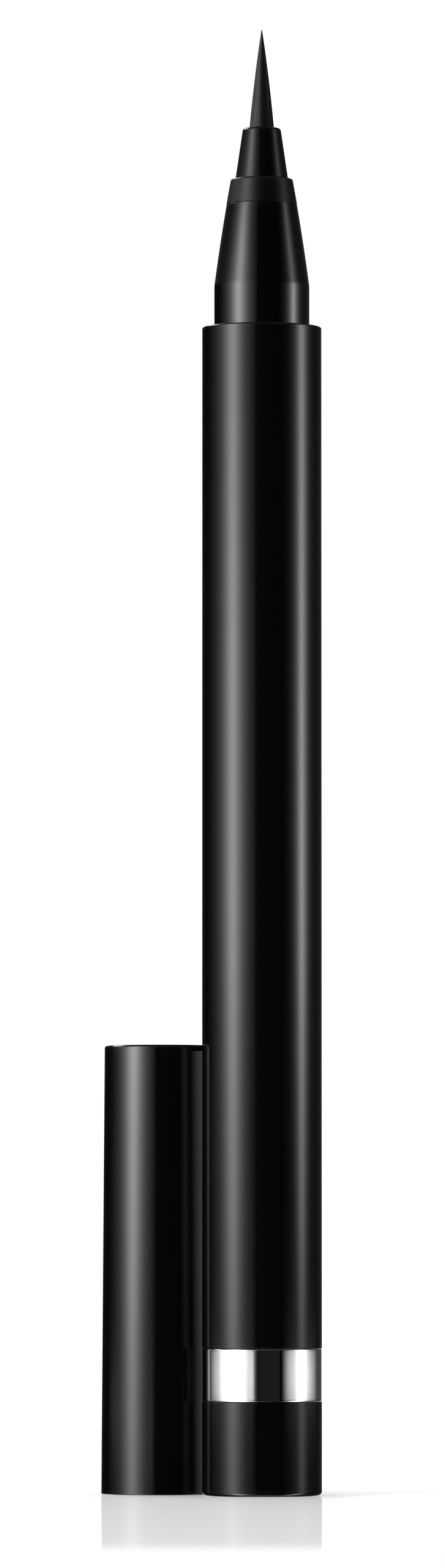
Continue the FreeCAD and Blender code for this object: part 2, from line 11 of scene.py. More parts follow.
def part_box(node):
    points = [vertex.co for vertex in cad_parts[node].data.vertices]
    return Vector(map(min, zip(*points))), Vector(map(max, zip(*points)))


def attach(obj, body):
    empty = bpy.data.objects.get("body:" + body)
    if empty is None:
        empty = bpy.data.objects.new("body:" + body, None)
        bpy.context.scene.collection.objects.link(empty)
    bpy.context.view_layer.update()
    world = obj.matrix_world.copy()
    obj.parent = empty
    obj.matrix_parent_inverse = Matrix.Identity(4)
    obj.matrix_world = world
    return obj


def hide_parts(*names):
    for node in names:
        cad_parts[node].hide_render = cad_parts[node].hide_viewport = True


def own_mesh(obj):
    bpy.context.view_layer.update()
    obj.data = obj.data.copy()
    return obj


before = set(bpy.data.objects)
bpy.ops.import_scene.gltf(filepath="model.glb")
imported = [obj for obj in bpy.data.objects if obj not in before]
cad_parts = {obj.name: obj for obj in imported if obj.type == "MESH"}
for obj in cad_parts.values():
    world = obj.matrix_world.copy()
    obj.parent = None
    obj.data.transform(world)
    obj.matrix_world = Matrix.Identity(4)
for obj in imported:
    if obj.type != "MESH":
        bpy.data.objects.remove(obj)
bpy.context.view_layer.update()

bl_info = {
    "name": "Eyeliner pen",
    "version": (1, 0, 0),
    "blender": (4, 5, 0),
    "location": "View3D > Sidebar > Eyeliner pen",
    "description": "Dresses a liquid eyeliner pen on its packed frame and sets up the studio round it",
    "category": "Object",
}

MM = 0.001
MICRON = 0.001 * MM
UP = Vector((0, 0, 1))
EDGE = "edge"


def low(node):
    """Lowest corner of a CAD node, in metres."""
    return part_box(node)[0]


def high(node):
    """Highest corner of a CAD node, in metres."""
    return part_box(node)[1]


# Kinds of property

def words(key):
    """A key in plain words."""
    return key.replace("_", " ").capitalize()


def kind_of(maker, **options):
    """A kind of property, which takes a description and a default."""
    return lambda text, value: (maker, {"description": text, "default": value, **options})


def labelled(group):
    """Make a group's properties, each named after its key."""
    for key, (maker, options) in group.__annotations__.items():
        group.__annotations__[key] = maker(name=words(key), **options)
    return group


# Lengths and heights are in metres, and a height may lie under the floor.
# A bearing is seen from above: 0 is towards the camera, and negative is to the camera's left.
length = kind_of(FloatProperty, min=0.0, unit="LENGTH", precision=6)
height = kind_of(FloatProperty, unit="LENGTH", precision=6)
bearing = kind_of(FloatProperty, subtype="ANGLE")
share = kind_of(FloatProperty, min=0.0, max=1.0, subtype="FACTOR", precision=4)
amount = kind_of(FloatProperty, min=0.0, precision=4)
count = kind_of(IntProperty, min=3)
colour = kind_of(FloatVectorProperty, size=3, min=0.0, max=1.0, subtype="COLOR")


@labelled
class EyelinerMesh(PropertyGroup):
    """How finely the turned pieces are divided."""
    segments: count("Faces round a turned piece", 160)
    longest_face: length("Longest run of one face along a piece", 6 * MM)
    wear_reach: length("How far the wear runs from an edge", 0.22 * MM)
    inner_ease: length("Rounding of the edges that no eye sees", 0.05 * MM)


@labelled
class EyelinerPen(PropertyGroup):
    """Sizes of the pen's turned pieces."""
    barrel_radius: length("Outside of the barrel and the tail", high("barrel").x)
    barrel_top: height("Shoulder that the cap closes on", high("barrel").z)
    barrel_base: height("Lower end of the barrel", low("barrel").z)
    shoulder_round: length("Rounding of the barrel's shoulder", 0.15 * MM)
    barrel_foot_ease: length("Eased edge at the barrel's lower end", 0.08 * MM)
    bore_radius: length("Bore of the barrel and the band", 3.92 * MM)
    ledge_radius: length("Opening of the ledge under the ink tank", 3.0 * MM)
    ledge_base: height("Lower side of the ledge", 48.63 * MM)
    ledge_top: height("Side of the ledge that carries the tank", 50.13 * MM)
    band_radius: length("Outside of the bright band", high("band_ring").x)
    band_base: height("Lower edge of the bright band", low("band_ring").z)
    band_top: height("Upper edge of the bright band", high("band_ring").z)
    band_ease: length("Eased edges of the bright band", 0.1 * MM)
    tail_round: length("Rounding of the foot's edge", 0.38 * MM)
    tail_ease: length("Eased edge of the tail under the band", 0.06 * MM)
    tail_neck_radius: length("Neck that holds the band", 3.9 * MM)
    tail_spigot_radius: length("Spigot inside the barrel", 3.7 * MM)
    tail_hollow_radius: length("Hollow of the tail", 2.7 * MM)
    tail_floor: height("Inner floor of the tail", 1.6 * MM)
    tail_top: height("Upper end of the spigot", high("tail_plug").z)


@labelled
class EyelinerNose(PropertyGroup):
    """Sizes of the collar, the nose and the nib's sleeve."""
    spigot_radius: length("Spigot pressed into the barrel", 3.9 * MM)
    spigot_base: height("Lower end of the spigot", low("front_section").z)
    spigot_ease: length("Lead-in of the spigot", 0.4 * MM)
    spigot_bore: length("Room for the collector", 3.2 * MM)
    collar_radius: length("Collar that the cap grips", high("front_section").x)
    collar_top: height("Where the cone starts", 104.95 * MM)
    collar_ease: length("Rounding where the cone starts", 2.5 * MM)
    cone_radius: length("Cone's upper end", 3.08 * MM)
    cone_top: height("Fine part line under the sleeve's ring", 112.05 * MM)
    cone_flank: length("Radius of the cone's slight belly", 190 * MM)
    seam_gap: length("Width of the part line", 0.06 * MM)
    seam_floor: length("Radius at the bottom of the part line", 2.97 * MM)
    seam_ease: length("Eased edges of the part line", 0.03 * MM)
    socket_radius: length("Socket of the nib's sleeve", 2.17 * MM)
    socket_base: height("Floor of the socket", 108.37 * MM)
    wick_radius: length("Hole for the wick", 0.8 * MM)
    wick_shelf: height("Top of the collector's room", 106.87 * MM)
    ring_radius: length("Upper edge of the sleeve's ring", 2.69 * MM)
    ring_top: height("Step above the ring", 114.3 * MM)
    ring_ease: length("Rounding of the ring's upper edge", 0.42 * MM)
    sleeve_spigot: length("Sleeve inside the socket", 2.15 * MM)
    sleeve_radius: length("Sleeve's root above the ring", 2.3 * MM)
    sleeve_tip: length("Sleeve's upper end", 1.645 * MM)
    sleeve_top: height("Where the bristles come out", 118.75 * MM)
    sleeve_round: length("Rounding of the sleeve's tip", 0.42 * MM)
    nib_bore: length("Bore that holds the bristles", 1.095 * MM)
    flange_bore: length("Room for the bristles' flange", 1.53 * MM)
    flange_top: height("Top of the flange's room", 109.07 * MM)


@labelled
class EyelinerNib(PropertyGroup):
    """Sizes of the brush nib."""
    flange_radius: length("Fused root of the bristles", high("brush_nib").x)
    flange_base: height("Lower side of the root", low("brush_nib").z)
    shank_radius: length("Bundle inside the sleeve", 1.065 * MM)
    point_radius: length("Bundle at its point", 0.03 * MM)
    top: height("Point of the nib", high("brush_nib").z)
    flank: length("Radius of the taper's slight belly", 145 * MM)
    bristle_radius: length("One bristle at the root", 0.042 * MM)
    bristles: count("Bristles seen round the nib", 84)
    rings: count("Divisions along a bristle", 26)
    sides: count("Faces round a bristle", 6)
    stagger: share("How much sooner the shortest bristles end", 0.3)
    sway: share("How far a bristle wanders sideways", 0.55)
    relief: share("How round each bristle is shaded in the bundle", 0.35)
    lean: share("How far the bristles' shading leans up the taper", 0.22)
    seed: count("Seed of the bristles' lengths", 11)


@labelled
class EyelinerCap(PropertyGroup):
    """Sizes of the cap, whose heights count from its mouth."""
    x: height("Cap's axis, across", (low("cap_shell").x + high("cap_shell").x) / 2)
    y: height("Cap's axis, in depth", (low("cap_shell").y + high("cap_shell").y) / 2)
    base: height("Height of the mouth over the floor", low("cap_shell").z)
    cap_length: length("Mouth to closed end", high("cap_shell").z - low("cap_shell").z)
    mouth_radius: length("Outside at the mouth", (high("cap_shell").x - low("cap_shell").x) / 2)
    top_radius: length("Outside at the closed end", 4.92 * MM)
    top_round: length("Rounding of the closed end", 0.25 * MM)
    mouth_round: length("Rounding of the mouth's edge", 0.06 * MM)
    lead_in: length("Flare inside the mouth", 0.22 * MM)
    bore_radius: length("Bore that grips the collar", 4.18 * MM)
    bead_radius: length("Bead that holds the inner cap", 3.82 * MM)
    bead_base: length("Where the bead starts to rise", 8.87 * MM)
    bead_crest: length("Where the bead is full", 9.67 * MM)
    bead_top: length("Ledge under the inner cap", 10.17 * MM)
    post_radius: length("Post inside the spring", 2.6 * MM)
    post_base: length("Lower end of the post", 33.278 * MM)
    ceiling: length("Inside of the closed end", 37.7 * MM)
    spring_radius: length("Middle of the spring's wire", 3.0 * MM)
    wire_radius: length("Spring's wire", 0.2 * MM)
    spring_base: length("Wire's middle at the lower end", 27.81 * MM)
    spring_top: length("Wire's middle at the upper end", 37.48 * MM)
    spring_turns: amount("Turns of the spring", 7.5)
    turn_steps: count("Divisions of one turn", 40)
    wire_sides: count("Faces round the wire", 10)
    spring_keep: share("Length that the spring keeps when pushed", 0.7)


@labelled
class EyelinerFinish(PropertyGroup):
    """Colours and roughness of the finishes."""
    body_black: colour("Barrel, tail and cap", (0.0016, 0.0016, 0.0016))
    nose_black: colour("Collar, nose and sleeve", (0.0012, 0.0012, 0.0012))
    worn_black: colour("Rubbed edges of the black plastic", (0.012, 0.012, 0.012))
    band_metal: colour("Bright band", (0.94, 0.94, 0.945))
    # Painted shade: the bristles' colour is darker in the hollows of their bump than on its ridges.
    bristle_dark: colour("Bristles in the hollows", (0.002, 0.002, 0.002))
    bristle_light: colour("Bristles on the ridges", (0.007, 0.007, 0.007))
    felt: colour("Wick's fibre", (0.8, 0.79, 0.76))
    # Painted shade: the wick's colour is darker in the gaps of its bump than on its fibres.
    felt_shade: colour("Gaps between the wick's fibres", (0.55, 0.54, 0.5))
    comb_grey: colour("Collector", (0.05, 0.05, 0.055))
    rubber: colour("Tank's seal", (0.03, 0.03, 0.03))
    natural: colour("Tank and its plug", (0.8, 0.8, 0.78))
    liner: colour("Inner cap", (0.82, 0.82, 0.8))
    steel: colour("Ball and spring", (0.62, 0.62, 0.63))
    body_roughness: share("Barrel, tail and cap", 0.1)
    nose_roughness: share("Collar and nose", 0.08)
    sleeve_roughness: share("Sleeve that holds the bristles", 0.22)
    ring_roughness: share("Satin ring under the sleeve", 0.34)
    body_gloss: share("Specular level of the barrel and the tail", 0.3)
    cap_gloss: share("Specular level of the cap", 0.43)
    nose_gloss: share("Specular level of the collar and the nose", 0.4)
    sleeve_gloss: share("Specular level of the ring and the sleeve", 0.27)
    bristle_gloss: share("Specular level of the bristles", 0.44)


@labelled
class EyelinerStudio(PropertyGroup):
    """Camera, lights and floor."""
    eye_x: height("Camera, across", -3.42 * MM)
    eye_y: height("Camera, in depth", -800 * MM)
    eye_z: height("Camera over the floor", 22 * MM)
    tilt: bearing("Upward tilt of the camera", math.radians(2.8333))
    lens: amount("Focal length in millimetres", 211.95)
    wall_radius: length("Ring of soft boxes and flags", 0.6)
    wall_base: height("Lower edge of the ring", -1.1)
    wall_top: height("Upper edge of the ring", 0.62)
    left_centre: bearing("Brightest line of the left soft box", math.radians(-58))
    left_spread: bearing("Fall-off of the left soft box", math.radians(10.9))
    left_peak: amount("Brightest radiance of the left soft box", 11.5)
    right_centre: bearing("Brightest line of the right soft box", math.radians(82))
    right_spread: bearing("Fall-off of the right soft box", math.radians(6.5))
    right_peak: amount("Brightest radiance of the right soft box", 9.1)
    flag: colour("Black cloth between the soft boxes", (0.01, 0.01, 0.01))
    card_base: height("Lower edge of the white cards for the band", -2.7 * MM)
    card_top: height("Upper edge of the white cards for the band", 6.2 * MM)
    right_card: amount("Radiance of the right white card for the band", 0.95)
    left_card: amount("Radiance of the left white card for the band", 0.45)
    inner_card: amount("Radiance added at the inner end of the left white card", 0.37)
    nib_card_base: height("Lower edge of the card that lights the nib's edge", 0.38)
    nib_card: amount("Radiance of the card that lights the nib's edge", 6.0)
    edge_card: amount("Radiance of the faint cards that light the edges", 0.05)
    nose_card_base: height("Lower edge of the faint card on the left", 0.19)
    gap_card: amount("Radiance of the card between the pen and the cap", 0.92)
    gap_card_off: length("Distance of that card from the barrel", 0.05 * MM)
    gap_card_top: height("Upper edge of that card", 38.5 * MM)
    floor_radius: length("White table top", 0.149)
    floor_white: colour("White of the table top", (0.92, 0.92, 0.92))
    floor_lift: amount("Light that the camera alone sees from the floor", 0.25)
    floor_gloss: amount("Refraction index of the floor's thin gloss", 1.012)
    floor_roughness: share("Roughness of that gloss", 0.06)
    gloss_back: height("Depth at which the floor's gloss ends behind the pen", 14 * MM)
    gloss_centre: height("Middle of the floor's gloss, across", -4.4 * MM)
    gloss_side: length("Half width of the floor's gloss", 10 * MM)
    gloss_fade: length("Width over which the floor's gloss fades away", 3 * MM)
    ceiling: colour("Dim room over the soft boxes, as gloss shows it", (0.2, 0.2, 0.2))


# Nodes

def add_node(tree, kind, inputs=None, **settings):
    """A node with its settings, and with values, sockets or other nodes on its inputs."""
    made = tree.nodes.new(kind)
    for key, value in settings.items():
        setattr(made, key, value)
    for key, value in (inputs or {}).items():
        if isinstance(value, bpy.types.Node):
            value = value.outputs[0]
        if isinstance(value, bpy.types.NodeSocket):
            tree.links.new(value, made.inputs[key])
        else:
            made.inputs[key].default_value = value
    return made


def calc(tree, operation, first, second=0.0):
    """One math node."""
    return add_node(tree, "ShaderNodeMath", {0: first, 1: second}, operation=operation)


def times(tree, first, *others):
    """Product of values."""
    for other in others:
        first = calc(tree, "MULTIPLY", first, other)
    return first


def swing(tree, value, gain):
    """How far a noise value lies from its middle, times a gain."""
    return times(tree, calc(tree, "SUBTRACT", value, 0.5), gain)


def between(tree, mask, first, second):
    """A value between two others, by a mask."""
    return add_node(tree, "ShaderNodeMapRange", {"Value": mask, "To Min": first, "To Max": second})


def smooth(tree, value, nothing, full):
    """Share that rises smoothly from 0 at one value to 1 at another."""
    inputs = {"Value": value, "From Min": nothing, "From Max": full}
    return add_node(tree, "ShaderNodeMapRange", inputs, interpolation_type="SMOOTHSTEP")


def noise(tree, vector, scale, detail, rough=0.5):
    """Noise value at a point."""
    inputs = {"Vector": vector, "Scale": scale, "Detail": detail, "Roughness": rough}
    return add_node(tree, "ShaderNodeTexNoise", inputs).outputs["Fac"]


def object_point(tree):
    """The point on the piece, in metres."""
    return add_node(tree, "ShaderNodeTexCoord").outputs["Object"]


def split(tree, vector):
    """X, Y and Z of a vector."""
    return add_node(tree, "ShaderNodeSeparateXYZ", {0: vector}).outputs


def unrolled_point(tree, across, along):
    """The point on an unrolled piece: its turn round the axis and its height, each times a scale."""
    parts = split(tree, object_point(tree))
    around = calc(tree, "ARCTAN2", parts["Y"], parts["X"])
    place = {"X": times(tree, around, across), "Y": times(tree, parts["Z"], along)}
    return add_node(tree, "ShaderNodeCombineXYZ", place)


def new_group(name, **inputs):
    """A node group with number inputs, and the sockets that give them inside."""
    tree = bpy.data.node_groups.new(name, "ShaderNodeTree")
    for key, value in inputs.items():
        socket = tree.interface.new_socket(name=words(key), in_out="INPUT", socket_type="NodeSocketFloat")
        socket.default_value = value
    return tree, add_node(tree, "NodeGroupInput").outputs


def end_group(tree, results):
    """Give a node group its number outputs."""
    for label in results:
        tree.interface.new_socket(name=label, in_out="OUTPUT", socket_type="NodeSocketFloat")
    add_node(tree, "NodeGroupOutput", results)
    return tree


def moulded_grain():
    """Faint waves and fine grain of moulded plastic, with a roughness that varies in clouds."""
    tree, given = new_group("moulded_grain", roughness=0.2, spread=0.03, wave_scale=450.0, grain_scale=5000.0,
                            grain_share=0.25, cloud_scale=160.0)
    point = object_point(tree)
    waves = noise(tree, point, given["Wave scale"], detail=1.0)
    grain = noise(tree, point, given["Grain scale"], detail=3.0, rough=0.6)
    clouds = noise(tree, point, given["Cloud scale"], detail=4.0, rough=0.6)
    drift = times(tree, swing(tree, clouds, gain=2.0), given["Spread"])
    fine = times(tree, grain, given["Grain share"])
    return end_group(tree, {
        "Roughness": calc(tree, "ADD", drift, given["Roughness"]),
        "Height": calc(tree, "ADD", waves, fine),
    })


def edge_wear():
    """Mask of the rubbed spots along eased edges."""
    tree, given = new_group("edge_wear", amount=0.5, break_scale=900.0, break_start=0.35, break_gain=2.5)
    edge = add_node(tree, "ShaderNodeAttribute", attribute_name=EDGE).outputs["Fac"]
    patches = noise(tree, object_point(tree), given["Break scale"], detail=4.0, rough=0.65)
    broken = calc(tree, "SUBTRACT", patches, given["Break start"])
    worn = times(tree, broken, given["Break gain"], edge, given["Amount"])
    return end_group(tree, {"Mask": add_node(tree, "ShaderNodeClamp", {"Value": worn})})


def drawn_lines():
    """Fine lines round a drawn or turned metal piece."""
    tree, given = new_group("drawn_lines", roughness=0.08, spread=0.02, line_scale=9000.0)
    point = unrolled_point(tree, 1.0, given["Line scale"])
    lines = noise(tree, point, scale=1.0, detail=3.0, rough=0.6)
    drift = swing(tree, lines, given["Spread"])
    return end_group(tree, {"Roughness": calc(tree, "ADD", drift, given["Roughness"]), "Height": lines})


def fibre_streaks():
    """Long streaks of fibres that run up the pen's axis."""
    tree, given = new_group("fibre_streaks", across=26.0, along=500.0, contrast=2.0)
    point = unrolled_point(tree, given["Across"], given["Along"])
    streaks = noise(tree, point, scale=1.0, detail=3.0, rough=0.6)
    spread = calc(tree, "ADD", swing(tree, streaks, given["Contrast"]), 0.5)
    return end_group(tree, {"Mask": add_node(tree, "ShaderNodeClamp", {"Value": spread}), "Height": streaks})


def place_group(tree, make, **values):
    """A shared effect in a material, with the material's own values."""
    group = bpy.data.node_groups.get(make.__name__) or make()
    inputs = {words(key): value for key, value in values.items()}
    return add_node(tree, "ShaderNodeGroup", inputs, node_tree=group).outputs


def opaque(rgb):
    """A colour with full cover."""
    return (*rgb, 1.0)


def darker(rgb, part):
    """A part of a colour."""
    return [channel * part for channel in rgb]


def blend_colour(tree, mask, first, second):
    """Two colours by a mask."""
    mix = add_node(tree, "ShaderNodeMix", {0: mask, 6: opaque(first), 7: opaque(second)}, data_type="RGBA")
    return mix.outputs[2]


def relief(tree, height_socket, depth):
    """A bump of a depth in micrometres."""
    inputs = {"Height": height_socket, "Distance": depth * MICRON, "Strength": 1.0}
    return add_node(tree, "ShaderNodeBump", inputs)


def surface(tree, inputs):
    """The main shader of a finish."""
    return add_node(tree, "ShaderNodeBsdfPrincipled", inputs)


def new_material(name, shade, *values):
    """A material with the shader that a function makes from some values."""
    made = bpy.data.materials.new(name)
    made.use_nodes = True
    tree = made.node_tree
    tree.nodes.clear()
    add_node(tree, "ShaderNodeOutputMaterial", {"Surface": shade(tree, *values)})
    return made


# Finishes

WORN_ROUGHNESS = 0.12


def black_plastic(tree, finish, black, roughness, gloss, spread, depth, wear):
    """Moulded black plastic with rubbed edges."""
    grain = place_group(tree, moulded_grain, roughness=getattr(finish, roughness), spread=spread)
    rubbed = place_group(tree, edge_wear, amount=wear)["Mask"]
    return surface(tree, {
        "Base Color": blend_colour(tree, rubbed, getattr(finish, black), finish.worn_black),
        "Roughness": calc(tree, "ADD", grain["Roughness"], times(tree, rubbed, WORN_ROUGHNESS)),
        "Specular IOR Level": getattr(finish, gloss),
        "Normal": relief(tree, grain["Height"], depth),
    })


def plain_plastic(tree, finish, shade, roughness, spread, depth):
    """Moulded plastic or rubber with clouds of a slightly different shade."""
    rgb = getattr(finish, shade)
    grain = place_group(tree, moulded_grain, roughness=roughness, spread=spread, wave_scale=700.0)
    clouds = noise(tree, object_point(tree), scale=220.0, detail=3.0)
    return surface(tree, {
        "Base Color": blend_colour(tree, clouds, darker(rgb, part=0.9), rgb),
        "Roughness": grain["Roughness"],
        "Normal": relief(tree, grain["Height"], depth),
    })


def mirror_metal(tree, finish):
    """Mirror metal of the band."""
    lines = place_group(tree, drawn_lines, roughness=0.08, spread=0.03)
    rubbed = place_group(tree, edge_wear, amount=0.6, break_scale=1400.0)["Mask"]
    return surface(tree, {
        "Base Color": blend_colour(tree, rubbed, finish.band_metal, darker(finish.band_metal, part=0.7)),
        "Metallic": 1.0,
        "Roughness": calc(tree, "ADD", lines["Roughness"], between(tree, rubbed, 0.0, 0.1)),
        "Normal": relief(tree, lines["Height"], depth=0.2),
    })


def bristle_fibre(tree, finish):
    """Black bristles in random streaks, with painted shade: darker where their bump is low, lighter on its
    ridges.
    """
    streaks = place_group(tree, fibre_streaks, across=14.0, along=260.0, contrast=2.2)
    return surface(tree, {
        "Base Color": blend_colour(tree, streaks["Mask"], finish.bristle_dark, finish.bristle_light),
        "Roughness": between(tree, streaks["Mask"], 0.28, 0.2),
        "Specular IOR Level": finish.bristle_gloss,
        "Normal": relief(tree, streaks["Height"], depth=10.0),
    })


def wick_felt(tree, finish):
    """Bonded fibre of the wick in random streaks, with painted shade: darker in the gaps between the fibres,
    where its bump is low.
    """
    streaks = place_group(tree, fibre_streaks, across=9.0, along=120.0, contrast=2.6)
    return surface(tree, {
        "Base Color": blend_colour(tree, streaks["Mask"], finish.felt_shade, finish.felt),
        "Roughness": between(tree, streaks["Mask"], 0.8, 0.9),
        "Normal": relief(tree, streaks["Height"], depth=30.0),
    })


def drawn_steel(tree, finish):
    """Drawn steel of the spring and the ball."""
    lines = place_group(tree, drawn_lines, roughness=0.2, spread=0.08, line_scale=6000.0)
    clouds = noise(tree, object_point(tree), scale=900.0, detail=3.0)
    return surface(tree, {
        "Base Color": blend_colour(tree, clouds, darker(finish.steel, part=0.85), finish.steel),
        "Metallic": 1.0,
        "Roughness": lines["Roughness"],
        "Normal": relief(tree, lines["Height"], depth=0.6),
    })


# What makes each finish, and its values in the order in which that function names them. A word is the key of
# a setting, and a depth is in micrometres.
FINISHES = {
    "satin_black_plastic": (black_plastic, "body_black", "body_roughness", "body_gloss", 0.025, 1.2, 0.5),
    "polished_black_plastic": (black_plastic, "body_black", "body_roughness", "cap_gloss", 0.025, 1.2, 0.5),
    "gloss_black_plastic": (black_plastic, "nose_black", "nose_roughness", "nose_gloss", 0.015, 0.8, 0.4),
    "dull_black_plastic": (black_plastic, "nose_black", "sleeve_roughness", "sleeve_gloss", 0.03, 0.8, 0.4),
    "satin_ring_plastic": (black_plastic, "nose_black", "ring_roughness", "sleeve_gloss", 0.04, 2.0, 0.4),
    "collector_comb_plastic": (plain_plastic, "comb_grey", 0.5, 0.08, 3.0),
    "tank_seal_rubber": (plain_plastic, "rubber", 0.75, 0.08, 6.0),
    "natural_tank_plastic": (plain_plastic, "natural", 0.38, 0.06, 2.0),
    "inner_cap_plastic": (plain_plastic, "liner", 0.42, 0.06, 2.0),
    "mirror_band_metal": (mirror_metal,),
    "black_bristles": (bristle_fibre,),
    "bonded_wick_fibre": (wick_felt,),
    "bright_drawn_steel": (drawn_steel,),
}
MADE_FINISHES = {}


def finish_of(context, name):
    """A finish's material, made when it is first asked for."""
    if name not in MADE_FINISHES:
        shade, *values = FINISHES[name]
        MADE_FINISHES[name] = new_material(name, shade, context.scene.eyeliner_finish, *values)
    return MADE_FINISHES[name]


# Turned pieces

FAIR_TURN = math.radians(2)
WORN_TURN = math.radians(20)
ARC_STEP = math.radians(11)
CUT_SHARE = 0.45
SUPPORT_ROOM = 3
FLANK_STEPS = 6


def outward(way):
    """Normal of an outline that is walked with the piece on its left."""
    return Vector((way.y, -way.x))


def eased_outline(corners, closed, sizes):
    """Stations of an outline, each a place, a normal and its share of a worn edge, with the corners eased.

    A corner is a radius, a height and its rounding, which is left out where no eye sees it. The outline has
    the piece on its left."""
    points = [Vector(corner[:2]) for corner in corners]
    ends = () if closed else (0, len(points) - 1)
    reach = sizes.wear_reach
    stations = []
    for index, here in enumerate(points):
        if index in ends:
            way = points[1] - here if index == 0 else here - points[index - 1]
            stations.append((here, outward(way.normalized()), 0.0))
            continue
        run_in = here - points[index - 1]
        run_out = points[(index + 1) % len(points)] - here
        way_in, way_out = run_in.normalized(), run_out.normalized()
        turn = math.atan2(way_in.x * way_out.y - way_in.y * way_out.x, way_in.dot(way_out))
        if abs(turn) < FAIR_TURN:
            stations.append((here, outward((way_in + way_out).normalized()), 0.0))
            continue
        rounding = (*corners[index], sizes.inner_ease)[2]
        slack = math.tan(abs(turn) / 2)
        cut = min(rounding * slack, run_in.length * CUT_SHARE, run_out.length * CUT_SHARE)
        side = math.copysign(cut / slack, turn)
        first = outward(way_in)
        start = here - way_in * cut
        centre = start - first * side
        if run_in.length > SUPPORT_ROOM * (cut + reach):
            stations.append((start - way_in * reach, first, 0.0))
        steps = max(2, round(abs(turn) / ARC_STEP))
        for step in range(steps + 1):
            normal = Matrix.Rotation(turn * step / steps, 2) @ first
            stations.append((centre + normal * side, normal, float(turn > WORN_TURN)))
        if run_out.length > SUPPORT_ROOM * (cut + reach):
            stations.append((here + way_out * (cut + reach), outward(way_out), 0.0))
    return stations


def divided(stations, closed, longest):
    """The stations, with more of them on long straight runs."""
    result = []
    followers = stations[1:] + (stations[:1] if closed else [])
    for (place, normal, edge), (after, after_normal, _) in zip(stations, followers):
        result.append((place, normal, edge))
        steps = math.ceil((after - place).length / longest)
        if normal.dot(after_normal) < math.cos(FAIR_TURN):
            steps = 1
        result += [(place.lerp(after, step / steps), normal, 0.0) for step in range(1, steps)]
    return result if closed else result + stations[-1:]


def belly(run, radius, along):
    """How far a slightly bellied flank stands out, at a share of its run."""
    return math.sqrt(radius ** 2 - ((along - 0.5) * run) ** 2) - math.sqrt(radius ** 2 - (run / 2) ** 2)


def flank(start, end, radius):
    """Corners between two ends of a slightly bellied flank."""
    first, last = Vector(start), Vector(end)
    run = last - first
    side = outward(run.normalized())
    shares = [step / FLANK_STEPS for step in range(1, FLANK_STEPS)]
    return [first + run * along + side * belly(run.length, radius, along) for along in shares]


def around_axis(angle):
    """Level direction at an angle round an upright axis."""
    return Vector((math.cos(angle), math.sin(angle), 0))


def spin(form, normals, stations, closed, centre, segments):
    """Turn the stations round an upright axis into faces, and note each point's normal."""
    edge_layer = form.verts.layers.float.get(EDGE) or form.verts.layers.float.new(EDGE)
    rings = []
    for place, normal, edge in stations:
        ring = []
        for step in range(segments if place.x > 0 else 1):
            across = around_axis(math.tau * step / segments)
            vert = form.verts.new(centre + across * place.x + UP * place.y)
            vert[edge_layer] = edge
            ring.append(vert)
            normals.append((across * normal.x + UP * normal.y).normalized())
        rings.append(ring)
    followers = rings[1:] + (rings[:1] if closed else [])
    for lower, upper in zip(rings, followers):
        for step in range(segments):
            after = (step + 1) % segments
            around = (lower[step % len(lower)], lower[after % len(lower)],
                      upper[after % len(upper)], upper[step % len(upper)])
            form.faces.new(list(dict.fromkeys(around)))


# Each piece's finish, the body that it rides on, its slot and the CAD node that it stands for.
PIECES = {
    "barrel_tube": ("satin_black_plastic", "pen", "barrel_black", "barrel"),
    "bright_band": ("mirror_band_metal", "pen", "band_metal", "band_ring"),
    "tail_foot": ("satin_black_plastic", "pen", "barrel_black", "tail_plug"),
    "collar_and_nose": ("gloss_black_plastic", "pen", "nose_black", "front_section"),
    "sleeve_of_nib": ("dull_black_plastic", "pen", "nose_black", "nib_sleeve"),
    "bristle_nib": ("black_bristles", "pen", "bristle", "brush_nib"),
    "cap_tube": ("polished_black_plastic", "cap", "barrel_black", "cap_shell"),
    "wound_spring": ("bright_drawn_steel", "cap", "bright_steel", "inner_cap_spring"),
}


def mesh_of(name, form, material):
    """Mesh of a form, which is used up."""
    mesh = bpy.data.meshes.new(name)
    form.to_mesh(mesh)
    form.free()
    mesh.materials.append(material)
    return mesh


def place_piece(context, name, form, normals):
    """Put a smooth piece with its own normals on its body, in place of its CAD node."""
    finish, body, slot, node = PIECES[name]
    mesh = mesh_of(name, form, finish_of(context, finish))
    mesh.polygons.foreach_set("use_smooth", [True] * len(mesh.polygons))
    mesh.normals_split_custom_set_from_vertices(normals)
    piece = bpy.data.objects.new(name, mesh)
    context.scene.collection.objects.link(piece)
    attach(piece, body)
    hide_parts(node)
    return piece


def turned_piece(context, name, corners, closed, centre=Vector()):
    """A turned piece that stands for one CAD node."""
    sizes = context.scene.eyeliner_mesh
    stations = divided(eased_outline(corners, closed, sizes), closed, sizes.longest_face)
    form, normals = bmesh.new(), []
    spin(form, normals, stations, closed, centre, sizes.segments)
    return place_piece(context, name, form, normals)


class EYELINER_OT_barrel(Operator):
    """Turn the barrel with its bore and the ledge under the ink tank"""
    bl_idname = "eyeliner.barrel"
    bl_label = "Barrel"

    def execute(self, context):
        pen = context.scene.eyeliner_pen
        corners = [
            (pen.bore_radius, pen.barrel_base),
            (pen.barrel_radius, pen.barrel_base, pen.barrel_foot_ease),
            (pen.barrel_radius, pen.barrel_top, pen.shoulder_round),
            (pen.bore_radius, pen.barrel_top),
            (pen.bore_radius, pen.ledge_top),
            (pen.ledge_radius, pen.ledge_top),
            (pen.ledge_radius, pen.ledge_base),
            (pen.bore_radius, pen.ledge_base),
        ]
        turned_piece(context, "barrel_tube", corners, True)
        return {"FINISHED"}


